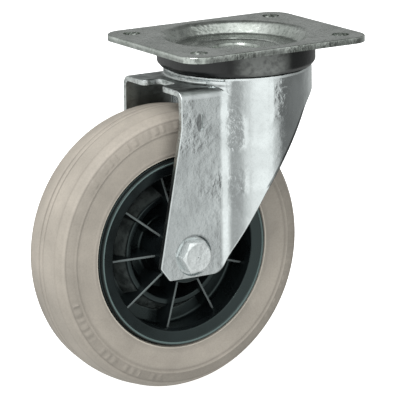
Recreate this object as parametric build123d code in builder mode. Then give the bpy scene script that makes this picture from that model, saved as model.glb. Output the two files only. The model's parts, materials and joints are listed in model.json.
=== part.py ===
"""Swivel castor: a plate-mounted pressed steel fork that turns on two ball rings and
carries a rubber-tyred wheel on a roller bearing.

Frame: the origin is the centre of the plate's top face, on the swivel axis. +Z is up, X runs
along the plate's long side and the wheel trails towards -X. The axle lies along Y. Sizes are
in millimetres.
"""

import os
from math import acos, cos, degrees, radians, sin, sqrt

from build123d import *

os.makedirs("parts", exist_ok=True)

# ---------------------------------------------------------------- driving dimensions
# top plate
plate_length = 135.0
plate_width = 110.0
plate_thickness = 4.0
plate_corner_radius = 14.0
hole_spacing_x = 105.0
hole_spacing_y = 80.0
hole_diameter = 11.0
dish_rim_radius = 46.0          # where the flat turns down into the dish
dish_floor_radius = 40.5
dish_depth = 7.5
dish_flat_lap = 7.0             # the dish and the flat are one sheet; they meet this far out
dish_rim_bend = 5.5
dish_floor_bend = 2.5
inner_step_radius = 28.5
inner_step_drop = 1.0
pocket_radius = 15.8            # seat of the kingpin's head
pocket_depth = 3.5              # below the dish floor inside the step
pocket_wall_run = 1.0
pocket_rim_bend = 0.8
pocket_under_growth = 3.0       # the pressed pocket is this much wider underneath
pocket_under_bend = 1.5
inner_step_bend = 0.6
plate_edge_round = 0.8

# swivel head
upper_ball_radius = 4.5
upper_ball_pitch_radius = 34.5
upper_ball_count = 22
lower_ball_radius = 4.0
lower_ball_pitch_radius = 22.5
lower_ball_count = 16
ball_clearance = 0.3
race_gap = 6.0                  # between the dish underside and the crown
lower_race_gap = 5.5            # between the crown underside and the lower cup
kingpin_radius = 8.0
kingpin_head_radius = 12.5
kingpin_head_height = 3.0
kingpin_head_slope = 2.0
kingpin_head_bend = 1.2
kingpin_tail_radius = 13.0
kingpin_tail_height = 4.0
kingpin_tail_slope = 3.0
kingpin_tail_bend = 1.5
cup_hub_radius = 13.0
cup_rim_radius = 31.0
cup_thickness = 3.5
cup_lip_height = 3.0
cup_lip_thickness = 2.5
cup_bend = 1.0
crown_hole_clearance = 2.0
seal_outer_radius = 50.2
seal_wall = 2.2
seal_height = 14.5
seal_taper_height = 2.6
seal_taper = 2.2
seal_seat_clearance = 0.3
seal_edge_round = 0.6
seal_taper_bend = 2.5

# fork, one pressed sheet
sheet = 3.5
crown_radius = 47.0
crown_set_back = 1.0            # the drawn cup stands this far behind the swivel axis
crown_bend = 4.0
crown_groove_height = 1.3
crown_groove_depth = 1.6
crown_groove_below_top = 2.8
crown_groove_bend = 0.3
shelf_drop = 6.7                # shelf below the crown's top
wall_foot_bend = 1.8            # where the crown's wall meets the shelf
leg_outer_half_width = 35.0
leg_bend = 6.5
shelf_front = 62.5              # distance ahead of the swivel axis
shelf_notch_half_width = 10.0
shelf_notch_depth = 12.0
shelf_notch_radius = 4.0
leg_fold_radius = 13.0          # where each leg runs out into the skirt
leg_straight = 48.0             # depth at which the front edge starts to lean
leg_toe_lean = 16.5
leg_toe_below_axle = 5.6
leg_bottom_below_axle = 14.0
leg_toe_chamfer = 6.5
leg_heel = 20.0                 # heel's corner behind the axle, at the leg's foot
leg_heel_radius = 10.0
rear_knee_x = -7.6              # where the rear cut changes its slope
rear_knee_z = -93.0
rear_shoulder_x = 28.6
rear_shoulder_z = -38.0
rear_shoulder_bend = 25.0
rear_knee_bend = 60.0
leg_front_bend = 30.0
leg_toe_bend = 2.0
rear_hem_z = -32.0
cut_edge_round = 0.7
on_surface = 0.01               # how near an edge must lie to count as on a face
dimple_radius = 12.5            # flat floor pressed inwards round the axle
dimple_depth = 1.8
dimple_wall_run = 0.8           # the dimple's wall slopes over this distance
leg_mark_length = 11.0
leg_mark_width = 3.6
leg_mark_depth = 0.7
leg_mark_behind_front = 13.8
leg_mark_below_shelf = 20.4

# wheel
wheel_offset = 55.0
axle_drop = 129.0
tyre_radius = 90.0
tyre_half_width = 23.0
tyre_crown = 0.9                # the tread falls by this much from its flat to its edges
tread_flat_half_width = 6.0
tyre_shoulder_radius = 13.0
tyre_lip_gap = 1.1              # the tyre's lip stands this far outside the rim
tyre_lip_half_width = 21.8
tyre_lip_bend = 0.4
tyre_side_bend = 25.0
tread_bend = 40.0
rim_radius = 60.5
rim_half_width = 21.0
rim_seat_depth = 4.5            # the tyre's seat lies this far inside the rim's edge
rim_seat_half_width = 17.0
rim_seat_bend = 0.5
rim_bulge = 3.0
rim_band_width = 9.5            # the crest of the bulge is halfway across the band
rim_edge_radius = 1.5
rim_crest_bend = 3.0
rim_band_slope = 4.0            # the band's inner face widens towards the web by this height
web_bend = 2.0
moulded_bend = 1.0
moulded_overlap = 1.0           # how far ribs run into the hub and the rim
rim_wall = 10.5                 # from the wheel well out to the rim's edge
web_half_thickness = 2.5
ridge_radius = 34.0
ridge_half_height = 13.0
ridge_crest_half_width = 1.5
ridge_foot_half_width = 8.0
rib_count = 9
rib_first_angle = 22.0
rib_thickness = 4.0
rib_below_hub_end = 7.5         # the ribs start this far below the hub's end
rib_half_height_rim = 14.0
hub_radius = 20.0
hub_fork_clearance = 0.8        # between each dust cap and the fork's boss
hub_bore_radius = 13.0

# axle and bearing
axle_radius = 6.0
axle_hole_clearance = 0.1
bolt_across_flats = 19.0
bolt_head_height = 7.5
bolt_chamfer = 1.2
nut_height = 12.0
nut_collar_height = 3.0
nut_collar_radius = 8.4
nut_insert_wall = 1.4
nut_insert_height = 2.4
washer_radius = 12.0
washer_thickness = 2.5
thread_stand_out = 2.5
axle_tube_radius = 7.3
roller_radius = 1.9
roller_count = 10
cage_end_width = 4.5
bearing_clearance = 0.3
bearing_recess = 3.0            # the bearing's end lies this far inside the hub's end
cage_wall = 2.2
cage_window_clearance = 0.25
thrust_washer_thickness = 1.5
cap_radius = 17.0
cap_flange_thickness = 1.4
cap_bore_clearance = 0.6

# ---------------------------------------------------------------- worked out from them
dish_floor_z = -dish_depth
dish_under_z = dish_floor_z - plate_thickness
inner_floor_z = dish_floor_z - inner_step_drop
pocket_floor_z = inner_floor_z - pocket_depth
pocket_under_z = pocket_floor_z - plate_thickness
pocket_under_radius = pocket_radius + pocket_under_growth
dish_blend_radius = dish_rim_radius + dish_flat_lap
crown_top_z = dish_under_z - race_gap
crown_under_z = crown_top_z - sheet
cup_top_z = crown_under_z - lower_race_gap
cup_under_z = cup_top_z - cup_thickness
shelf_top_z = crown_top_z - shelf_drop
shelf_under_z = shelf_top_z - sheet
upper_ball_z = (dish_under_z + crown_top_z) / 2
lower_ball_z = (crown_under_z + cup_top_z) / 2
crown_hole_radius = cup_hub_radius + crown_hole_clearance
leg_inner_half_width = leg_outer_half_width - sheet
dimple_floor_y = leg_outer_half_width - dimple_depth
boss_inner_y = leg_inner_half_width - dimple_depth
hub_half_length = boss_inner_y - hub_fork_clearance - cap_flange_thickness
bearing_half_length = hub_half_length - bearing_recess
roller_half_length = bearing_half_length - cage_end_width
rib_half_height_hub = hub_half_length - rib_below_hub_end
leg_bottom_z = -axle_drop - leg_bottom_below_axle
pitch_radius = axle_tube_radius + bearing_clearance + roller_radius
sleeve_inner_radius = pitch_radius + roller_radius + bearing_clearance
nut_seat_y = dimple_floor_y + washer_thickness
rim_seat_radius = rim_radius - rim_seat_depth
rim_inner_radius = rim_radius - rim_wall
rim_band_inner_radius = rim_radius - rim_band_width
rim_band_crest_radius = rim_radius - rim_band_width / 2
tyre_lip_radius = rim_radius + tyre_lip_gap
axle_centre = (-wheel_offset, 0, -axle_drop)
axle_axis = Axis(axle_centre, (0, 1, 0))
axle_plane = Plane(origin=axle_centre, x_dir=(1, 0, 0), z_dir=(0, 0, 1))


def across_axle(distance):
    """Plane square to the axle at a distance along it, with its own x along X and y along Z."""
    return Plane(origin=(-wheel_offset, distance, -axle_drop), x_dir=(1, 0, 0), z_dir=(0, -1, 0))


# ---------------------------------------------------------------- swivel head
with BuildPart() as top_plate:
    with BuildSketch():
        RectangleRounded(plate_length, plate_width, plate_corner_radius)
        Circle(dish_blend_radius, mode=Mode.SUBTRACT)
        with GridLocations(hole_spacing_x, hole_spacing_y, 2, 2):
            Circle(hole_diameter / 2, mode=Mode.SUBTRACT)
    extrude(amount=-plate_thickness)
    slope = (dish_rim_radius - dish_floor_radius) / dish_depth
    slant = sqrt(1 + slope**2)
    under_shift = plate_thickness * (slant - slope)
    with BuildSketch(Plane.XZ) as dish_section:
        with BuildLine():
            top_line = FilletPolyline(
                (kingpin_radius, pocket_floor_z),
                (pocket_radius - pocket_wall_run, pocket_floor_z),
                (pocket_radius, inner_floor_z),
                (inner_step_radius - inner_step_drop, inner_floor_z),
                (inner_step_radius, dish_floor_z),
                (dish_floor_radius, dish_floor_z),
                (dish_rim_radius, 0),
                (dish_blend_radius, 0),
                radius=(
                    pocket_rim_bend,
                    pocket_rim_bend,
                    inner_step_bend,
                    inner_step_bend,
                    dish_floor_bend,
                    dish_rim_bend,
                ),
            )
            under_line = FilletPolyline(
                (kingpin_radius, pocket_under_z),
                (pocket_under_radius - pocket_wall_run, pocket_under_z),
                (pocket_under_radius + pocket_wall_run, dish_under_z),
                (dish_floor_radius + under_shift, dish_under_z),
                (dish_rim_radius + under_shift, -plate_thickness),
                (dish_blend_radius, -plate_thickness),
                radius=(
                    pocket_under_bend,
                    pocket_under_bend,
                    dish_floor_bend + plate_thickness,
                    dish_rim_bend - plate_thickness,
                ),
            )
            Line(top_line @ 0, under_line @ 0)
            Line(top_line @ 1, under_line @ 1)
        make_face()
    revolve(axis=Axis.Z)
    with BuildSketch(Plane.XZ):
        with Locations((upper_ball_pitch_radius, upper_ball_z)):
            Circle(upper_ball_radius + ball_clearance)
    revolve(axis=Axis.Z, mode=Mode.SUBTRACT)
    plate_rim = top_plate.faces().sort_by(Axis.Z)[-1].outer_wire().edges()
    fillet(plate_rim, plate_edge_round)
top_plate.part.label = "top_plate"
export_step(top_plate.part, "parts/top_plate.step")

with BuildPart() as kingpin:
    with BuildSketch(Plane.XZ):
        with BuildLine():
            FilletPolyline(
                (0, pocket_floor_z + kingpin_head_height),
                (kingpin_head_radius - kingpin_head_slope, pocket_floor_z + kingpin_head_height),
                (kingpin_head_radius, pocket_floor_z),
                (kingpin_radius, pocket_floor_z),
                (kingpin_radius, cup_under_z),
                (kingpin_tail_radius, cup_under_z),
                (kingpin_tail_radius - kingpin_tail_slope, cup_under_z - kingpin_tail_height),
                (0, cup_under_z - kingpin_tail_height),
                radius=(kingpin_head_bend, 0, 0, 0, 0, kingpin_tail_bend),
            )
            Line((0, pocket_floor_z + kingpin_head_height), (0, cup_under_z - kingpin_tail_height))
        make_face()
    revolve(axis=Axis.Z)
kingpin.part.label = "kingpin"
export_step(kingpin.part, "parts/kingpin.step")

with BuildPart() as lower_race_cup:
    with BuildSketch(Plane.XZ):
        with BuildLine():
            FilletPolyline(
                (kingpin_radius, pocket_under_z),
                (cup_hub_radius, pocket_under_z),
                (cup_hub_radius, cup_top_z),
                (cup_rim_radius - cup_lip_thickness, cup_top_z),
                (cup_rim_radius - cup_lip_thickness, cup_top_z + cup_lip_height),
                (cup_rim_radius, cup_top_z + cup_lip_height),
                (cup_rim_radius, cup_under_z),
                (kingpin_radius, cup_under_z),
                close=True,
                radius=(0, 0, cup_bend, cup_bend, cup_bend, cup_bend, cup_thickness - cup_bend / 2, 0),
            )
        make_face()
    revolve(axis=Axis.Z)
    with BuildSketch(Plane.XZ):
        with Locations((lower_ball_pitch_radius, lower_ball_z)):
            Circle(lower_ball_radius + ball_clearance)
    revolve(axis=Axis.Z, mode=Mode.SUBTRACT)
lower_race_cup.part.label = "lower_race_cup"
export_step(lower_race_cup.part, "parts/lower_race_cup.step")

with BuildPart() as upper_balls:
    with Locations((0, 0, upper_ball_z)):
        with PolarLocations(upper_ball_pitch_radius, upper_ball_count):
            Sphere(upper_ball_radius)
upper_balls.part.label = "upper_balls"
export_step(upper_balls.part, "parts/upper_balls.step")

with BuildPart() as lower_balls:
    with Locations((0, 0, lower_ball_z)):
        with PolarLocations(lower_ball_pitch_radius, lower_ball_count):
            Sphere(lower_ball_radius)
lower_balls.part.label = "lower_balls"
export_step(lower_balls.part, "parts/lower_balls.step")

# the dust seal hangs from the plate's underside, its conical seat against the dish's outside
seal_bottom_z = -plate_thickness - seal_height
seal_inner_radius = seal_outer_radius - seal_wall
seat_depth = (dish_depth + plate_thickness) / 2
seat_top_radius = dish_rim_radius + under_shift + seal_seat_clearance
seat_low_radius = seat_top_radius - slope * seat_depth
with BuildPart() as seal_ring:
    with BuildSketch(Plane.XZ):
        with BuildLine():
            FilletPolyline(
                (seat_top_radius + dish_rim_bend - plate_thickness, -plate_thickness),
                (seal_outer_radius, -plate_thickness),
                (seal_outer_radius, seal_bottom_z + seal_taper_height),
                (seal_outer_radius - seal_taper, seal_bottom_z),
                (seal_inner_radius - seal_taper / 2, seal_bottom_z),
                (seal_inner_radius, seal_bottom_z + seal_taper_height),
                (seal_inner_radius, -plate_thickness - seat_depth),
                (seat_low_radius, -plate_thickness - seat_depth),
                (seat_top_radius - slope * seal_wall, -plate_thickness - seal_wall),
                close=True,
                radius=(
                    0,
                    seal_edge_round / 2,
                    seal_taper_bend,
                    seal_edge_round,
                    seal_edge_round / 2,
                    seal_edge_round,
                    0,
                    0,
                    0,
                ),
            )
        make_face()
    revolve(axis=Axis.Z)
seal_ring.part.label = "seal_ring"
export_step(seal_ring.part, "parts/seal_ring.step")

# ---------------------------------------------------------------- fork
leg_toe_z = -axle_drop - leg_toe_below_axle
leg_front_x = -shelf_front
leg_toe_x = leg_front_x - leg_toe_lean
heel_x = -wheel_offset + leg_heel
blank_bottom_z = leg_bottom_z - sheet
blank_front_x = leg_toe_x - sheet
# each fold is an arc that touches both the leg's side and the crown's wall
fold_reach = crown_radius + leg_fold_radius
fold_centre_y = leg_outer_half_width + leg_fold_radius
fold_centre_x = crown_set_back - sqrt(fold_reach**2 - fold_centre_y**2)
fold_angle = degrees(acos(fold_centre_y / fold_reach))
fold_end_x = crown_set_back + (fold_centre_x - crown_set_back) * crown_radius / fold_reach
wall_meets_leg_x = crown_set_back - sqrt(crown_radius**2 - leg_outer_half_width**2)

# the crown: a drawn cup, with a groove pressed round the front of its wall
groove_top_z = crown_top_z - crown_groove_below_top
with BuildPart() as groove_ring:
    with BuildSketch(Plane.XZ):
        with Locations((crown_radius - crown_groove_depth, groove_top_z)):
            Rectangle(2 * crown_groove_depth, crown_groove_height, align=(Align.MIN, Align.MAX))
        fillet(vertices().group_by(Axis.X)[0], crown_groove_bend)
    revolve(axis=Axis.Z)
    split(bisect_by=Plane.YZ.offset(wall_meets_leg_x - crown_set_back), keep=Keep.BOTTOM)

with BuildPart() as crown_cup:
    with BuildSketch(Plane.XZ):
        with BuildLine():
            FilletPolyline(
                (0, crown_top_z),
                (crown_radius, crown_top_z),
                (crown_radius, blank_bottom_z),
                (crown_radius - sheet, blank_bottom_z),
                (crown_radius - sheet, crown_under_z),
                (0, crown_under_z),
                close=True,
                radius=(0, crown_bend, 0, 0, crown_bend - sheet, 0),
            )
        make_face()
    revolve(axis=Axis.Z)
    # ahead of the folds only the wall above the shelf is left of the cup's side
    for cut_x, cut_top_z in (
        (fold_end_x, shelf_top_z - leg_bend),
        (fold_centre_x, shelf_under_z),
    ):
        with BuildSketch(Plane.XY.offset(blank_bottom_z)):
            with Locations((cut_x - crown_set_back, 0)):
                Rectangle(2 * crown_radius, 3 * crown_radius, align=(Align.MAX, Align.CENTER))
        extrude(amount=cut_top_z - blank_bottom_z, mode=Mode.SUBTRACT)
    add(groove_ring.part, mode=Mode.SUBTRACT)

# a small cove where the wall stands on the flat of the shelf
shelf_flat_half_width = leg_outer_half_width - leg_bend
wall_foot_radius = crown_radius + wall_foot_bend
wall_foot_end_x = crown_set_back - sqrt(wall_foot_radius**2 - shelf_flat_half_width**2)
with BuildPart() as wall_foot:
    with BuildSketch(Plane.XZ):
        with BuildLine():
            cove = RadiusArc(
                (crown_radius, shelf_top_z + wall_foot_bend),
                (wall_foot_radius, shelf_top_z),
                -wall_foot_bend,
            )
            Polyline(
                cove @ 1,
                (wall_foot_radius, shelf_top_z - sheet / 2),
                (crown_radius - sheet / 2, shelf_top_z - sheet / 2),
                (crown_radius - sheet / 2, shelf_top_z + wall_foot_bend),
                cove @ 0,
            )
        make_face()
    revolve(axis=Axis.Z)
    split(bisect_by=Plane.YZ.offset(wall_foot_end_x - crown_set_back), keep=Keep.BOTTOM)

with BuildPart() as fork:
    # the legs and shelf: an inverted U carried along X up to the folds
    with BuildSketch(Plane.YZ.offset(blank_front_x)):
        with Locations((0, shelf_top_z)):
            Rectangle(
                2 * leg_outer_half_width,
                shelf_top_z - blank_bottom_z,
                align=(Align.CENTER, Align.MAX),
            )
        fillet(vertices().group_by(Axis.Y)[-1], leg_bend)
        with BuildSketch(Plane.YZ.offset(blank_front_x), mode=Mode.SUBTRACT):
            with Locations((0, shelf_under_z)):
                Rectangle(
                    2 * leg_inner_half_width,
                    shelf_under_z - blank_bottom_z,
                    align=(Align.CENTER, Align.MAX),
                )
            fillet(vertices().group_by(Axis.Y)[-1], leg_bend - sheet)
    extrude(amount=fold_centre_x - blank_front_x)

    # each leg and its half of the shelf turn outwards into the skirt
    for side in (-1, 1):
        fold_centre = (fold_centre_x, side * fold_centre_y, 0)
        fold_plane = Plane(origin=fold_centre, x_dir=(0, -side, 0), z_dir=(-side, 0, 0))
        with BuildSketch(fold_plane):
            with BuildLine():
                FilletPolyline(
                    (leg_fold_radius, blank_bottom_z),
                    (leg_fold_radius, shelf_top_z),
                    (leg_fold_radius + 2 * leg_bend, shelf_top_z),
                    (leg_fold_radius + 2 * leg_bend, shelf_under_z),
                    (leg_fold_radius + sheet, shelf_under_z),
                    (leg_fold_radius + sheet, blank_bottom_z),
                    close=True,
                    radius=(0, leg_bend, 0, 0, leg_bend - sheet, 0),
                )
            make_face()
        revolve(axis=Axis(fold_centre, (0, 0, 1)), revolution_arc=side * fold_angle)
    # room for the lower ball ring inside the crown, and the crown over it
    with BuildSketch(Plane.XY.offset(shelf_under_z - sheet)):
        with Locations((crown_set_back, 0)):
            Circle(crown_radius - sheet)
    extrude(amount=2 * sheet + shelf_drop, mode=Mode.SUBTRACT)
    with Locations((crown_set_back, 0, 0)):
        add(crown_cup.part)
        add(wall_foot.part)

    # bosses pressed inwards round the axle
    for side in (-1, 1):
        with BuildSketch(axle_plane):
            with BuildLine():
                Polyline(
                    (0, side * leg_inner_half_width),
                    (0, side * boss_inner_y),
                    (dimple_radius, side * boss_inner_y),
                    (dimple_radius + 2 * dimple_wall_run, side * leg_inner_half_width),
                    close=True,
                )
            make_face()
        revolve(axis=axle_axis)

    # the side outline trims legs, skirt and shelf in one stroke
    with BuildSketch(Plane.XZ) as side_outline:
        with BuildLine():
            FilletPolyline(
                (leg_front_x, crown_top_z + sheet),
                (leg_front_x, -leg_straight),
                (leg_toe_x, leg_toe_z),
                (leg_toe_x + leg_toe_chamfer, leg_bottom_z),
                (heel_x, leg_bottom_z),
                (rear_knee_x, rear_knee_z),
                (rear_shoulder_x, rear_shoulder_z),
                (crown_radius + sheet, rear_hem_z),
                (crown_radius + sheet, crown_top_z + sheet),
                close=True,
                radius=(
                    0,
                    leg_front_bend,
                    leg_toe_bend,
                    leg_toe_bend,
                    leg_heel_radius,
                    rear_knee_bend,
                    rear_shoulder_bend,
                    0,
                    0,
                ),
            )
        make_face()
    extrude(amount=crown_radius + sheet, both=True, mode=Mode.INTERSECT)

    # notch between the two tabs of the shelf, with rounded corners
    with BuildSketch(Plane.XY.offset(shelf_under_z - sheet)):
        with Locations((leg_front_x, 0)):
            Rectangle(2 * shelf_notch_depth, 2 * shelf_notch_half_width)
    extrude(amount=3 * sheet, mode=Mode.SUBTRACT)
    fillet(
        edges()
        .filter_by(Axis.Z)
        .filter_by_position(
            Axis.Y, -shelf_notch_half_width - on_surface, shelf_notch_half_width + on_surface
        )
        .filter_by_position(
            Axis.X, leg_front_x - on_surface, leg_front_x + shelf_notch_depth + on_surface
        ),
        shelf_notch_radius,
    )

    # race grooves above and below the crown, and the hole for the cup's hub
    with BuildSketch(Plane.XZ):
        with Locations((upper_ball_pitch_radius, upper_ball_z)):
            Circle(upper_ball_radius + ball_clearance)
        with Locations((lower_ball_pitch_radius, lower_ball_z)):
            Circle(lower_ball_radius + ball_clearance)
    revolve(axis=Axis.Z, mode=Mode.SUBTRACT)
    with BuildSketch(Plane.XY.offset(crown_under_z)):
        Circle(crown_hole_radius)
    extrude(amount=sheet, mode=Mode.SUBTRACT)

    # the sheared edges are a little rounded on the outside
    cut_edges = ShapeList()
    for edge in edges():
        middle = edge @ 0.5
        on_leg = abs(abs(middle.Y) - leg_outer_half_width) < on_surface
        from_crown = sqrt((middle.X - crown_set_back) ** 2 + middle.Y**2)
        from_fold = sqrt((middle.X - fold_centre_x) ** 2 + (abs(middle.Y) - fold_centre_y) ** 2)
        on_skirt = abs(from_crown - crown_radius) < on_surface
        on_fold = abs(from_fold - leg_fold_radius) < on_surface
        below_bend = middle.Z < shelf_top_z - leg_bend - on_surface
        corner_line = abs(edge.tangent_at(0).Z) > 1 - on_surface and middle.X > leg_front_x + sheet
        if below_bend and (on_leg or on_fold or on_skirt) and not corner_line:
            cut_edges.append(edge)
    fillet(cut_edges, cut_edge_round)

    # the outside of each pressed dimple, and the axle's holes
    for side in (-1, 1):
        with BuildSketch(axle_plane):
            with BuildLine():
                Polyline(
                    (0, side * leg_outer_half_width),
                    (0, side * dimple_floor_y),
                    (dimple_radius - dimple_wall_run / 2, side * dimple_floor_y),
                    (dimple_radius + dimple_wall_run / 2, side * leg_outer_half_width),
                    close=True,
                )
            make_face()
        revolve(axis=axle_axis, mode=Mode.SUBTRACT)
    with BuildSketch(across_axle(0)):
        Circle(axle_radius + axle_hole_clearance)
    extrude(amount=leg_outer_half_width, both=True, mode=Mode.SUBTRACT)

    # a plain oblong mark stamped in the near leg
    mark_x = leg_front_x + leg_mark_behind_front
    mark_z = shelf_top_z - leg_mark_below_shelf
    mark_plane = Plane(
        origin=(mark_x, -leg_outer_half_width, mark_z), x_dir=(1, 0, 0), z_dir=(0, -1, 0)
    )
    with BuildSketch(mark_plane):
        SlotOverall(leg_mark_length, leg_mark_width, rotation=90)
    extrude(amount=-leg_mark_depth, mode=Mode.SUBTRACT)
fork.part.label = "fork"
export_step(fork.part, "parts/fork.step")

# ---------------------------------------------------------------- axle
bolt_face_y = -dimple_floor_y - bolt_head_height
nut_end_y = nut_seat_y + nut_height
bolt_tip_y = nut_end_y + thread_stand_out
with BuildPart() as axle_bolt:
    with BuildSketch(across_axle(-dimple_floor_y)):
        RegularPolygon(bolt_across_flats / 2, 6, major_radius=False)
    extrude(amount=bolt_head_height)
    with BuildSketch(axle_plane):
        with BuildLine():
            Polyline(
                (0, bolt_face_y),
                (bolt_across_flats / 2 - bolt_chamfer / 2, bolt_face_y),
                (bolt_across_flats / 2 + 2 * bolt_chamfer, bolt_face_y + bolt_chamfer),
                (bolt_across_flats / 2 + 2 * bolt_chamfer, -dimple_floor_y),
                (0, -dimple_floor_y),
                close=True,
            )
        make_face()
    revolve(axis=axle_axis, mode=Mode.INTERSECT)
    with BuildSketch(axle_plane):
        with BuildLine():
            Polyline(
                (0, -dimple_floor_y),
                (axle_radius, -dimple_floor_y),
                (axle_radius, bolt_tip_y - bolt_chamfer),
                (axle_radius - bolt_chamfer, bolt_tip_y),
                (0, bolt_tip_y),
                close=True,
            )
        make_face()
    revolve(axis=axle_axis)
axle_bolt.part.label = "axle_bolt"
export_step(axle_bolt.part, "parts/axle_bolt.step")

with BuildPart() as nut_washer:
    with BuildSketch(across_axle(dimple_floor_y)):
        Circle(washer_radius)
        Circle(axle_radius + axle_hole_clearance, mode=Mode.SUBTRACT)
    extrude(amount=-washer_thickness)
nut_washer.part.label = "nut_washer"
export_step(nut_washer.part, "parts/nut_washer.step")

# the nut's hexagon carries a collar, and the nylon ring sits inside the collar
hex_end_y = nut_end_y - nut_collar_height
insert_seat_y = nut_end_y - nut_insert_height
insert_outer_radius = axle_radius + nut_insert_wall
with BuildPart() as axle_nut:
    with BuildSketch(across_axle(nut_seat_y)):
        RegularPolygon(bolt_across_flats / 2, 6, major_radius=False)
    extrude(amount=-(nut_height - nut_collar_height))
    with BuildSketch(axle_plane):
        with BuildLine():
            Polyline(
                (0, nut_seat_y),
                (bolt_across_flats / 2 - bolt_chamfer / 2, nut_seat_y),
                (bolt_across_flats / 2 + 2 * bolt_chamfer, nut_seat_y + bolt_chamfer),
                (bolt_across_flats / 2 + 2 * bolt_chamfer, hex_end_y - bolt_chamfer),
                (bolt_across_flats / 2 - bolt_chamfer / 2, hex_end_y),
                (0, hex_end_y),
                close=True,
            )
        make_face()
    revolve(axis=axle_axis, mode=Mode.INTERSECT)
    with BuildSketch(axle_plane):
        with BuildLine():
            FilletPolyline(
                (0, hex_end_y),
                (nut_collar_radius, hex_end_y),
                (nut_collar_radius, nut_end_y),
                (0, nut_end_y),
                close=True,
                radius=(0, 0, nut_insert_wall / 2, 0),
            )
        make_face()
    revolve(axis=axle_axis)
    with BuildSketch(across_axle(nut_end_y)):
        Circle(insert_outer_radius)
    extrude(amount=nut_insert_height, mode=Mode.SUBTRACT)
    with BuildSketch(across_axle(nut_end_y)):
        Circle(axle_radius)
    extrude(amount=nut_height, mode=Mode.SUBTRACT)
axle_nut.part.label = "axle_nut"
export_step(axle_nut.part, "parts/axle_nut.step")

with BuildPart() as nut_insert:
    with BuildSketch(across_axle(insert_seat_y)):
        Circle(insert_outer_radius)
        Circle(axle_radius, mode=Mode.SUBTRACT)
    extrude(amount=-nut_insert_height)
nut_insert.part.label = "nut_insert"
export_step(nut_insert.part, "parts/nut_insert.step")

with BuildPart() as axle_tube:
    with BuildSketch(across_axle(0)):
        Circle(axle_tube_radius)
        Circle(axle_radius + axle_hole_clearance, mode=Mode.SUBTRACT)
    extrude(amount=boss_inner_y, both=True)
axle_tube.part.label = "axle_tube"
export_step(axle_tube.part, "parts/axle_tube.step")

# ---------------------------------------------------------------- bearing
with BuildPart() as bearing_sleeve:
    with BuildSketch(across_axle(0)):
        Circle(hub_bore_radius)
        Circle(sleeve_inner_radius, mode=Mode.SUBTRACT)
    extrude(amount=bearing_half_length, both=True)
bearing_sleeve.part.label = "bearing_sleeve"
export_step(bearing_sleeve.part, "parts/bearing_sleeve.step")

with BuildPart() as roller_cage:
    with BuildSketch(across_axle(0)):
        Circle(pitch_radius + cage_wall / 2)
        Circle(pitch_radius - cage_wall / 2, mode=Mode.SUBTRACT)
    extrude(amount=bearing_half_length - bearing_clearance, both=True)
    with BuildSketch(across_axle(0)):
        with PolarLocations(pitch_radius, roller_count):
            Circle(roller_radius + cage_window_clearance)
    extrude(amount=roller_half_length + cage_window_clearance, both=True, mode=Mode.SUBTRACT)
roller_cage.part.label = "roller_cage"
export_step(roller_cage.part, "parts/roller_cage.step")

with BuildPart() as bearing_rollers:
    with BuildSketch(across_axle(0)):
        with PolarLocations(pitch_radius, roller_count):
            Circle(roller_radius)
    extrude(amount=roller_half_length, both=True)
bearing_rollers.part.label = "bearing_rollers"
export_step(bearing_rollers.part, "parts/bearing_rollers.step")

# thrust washers and dust caps, one of each at either end of the hub
for side, side_name in ((-1, "near"), (1, "far")):
    washer_outer_y = side * (bearing_half_length + thrust_washer_thickness)
    cap_outer_y = side * (hub_half_length + cap_flange_thickness)
    cap_bore_radius = axle_tube_radius + cap_bore_clearance
    with BuildPart() as thrust_washer:
        with BuildSketch(across_axle(side * bearing_half_length)):
            Circle(hub_bore_radius)
            Circle(cap_bore_radius, mode=Mode.SUBTRACT)
        extrude(amount=-side * thrust_washer_thickness)
    thrust_washer.part.label = "thrust_washer_" + side_name
    export_step(thrust_washer.part, "parts/thrust_washer_" + side_name + ".step")

    with BuildPart() as hub_cap:
        with BuildSketch(axle_plane):
            with BuildLine():
                FilletPolyline(
                    (cap_bore_radius, washer_outer_y),
                    (hub_bore_radius, washer_outer_y),
                    (hub_bore_radius, side * hub_half_length),
                    (cap_radius, side * hub_half_length),
                    (cap_radius, cap_outer_y),
                    (cap_bore_radius, cap_outer_y),
                    close=True,
                    radius=(0, 0, 0, 0, cap_flange_thickness / 2, 0),
                )
            make_face()
        revolve(axis=axle_axis)
    hub_cap.part.label = "hub_cap_" + side_name
    export_step(hub_cap.part, "parts/hub_cap_" + side_name + ".step")

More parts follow.
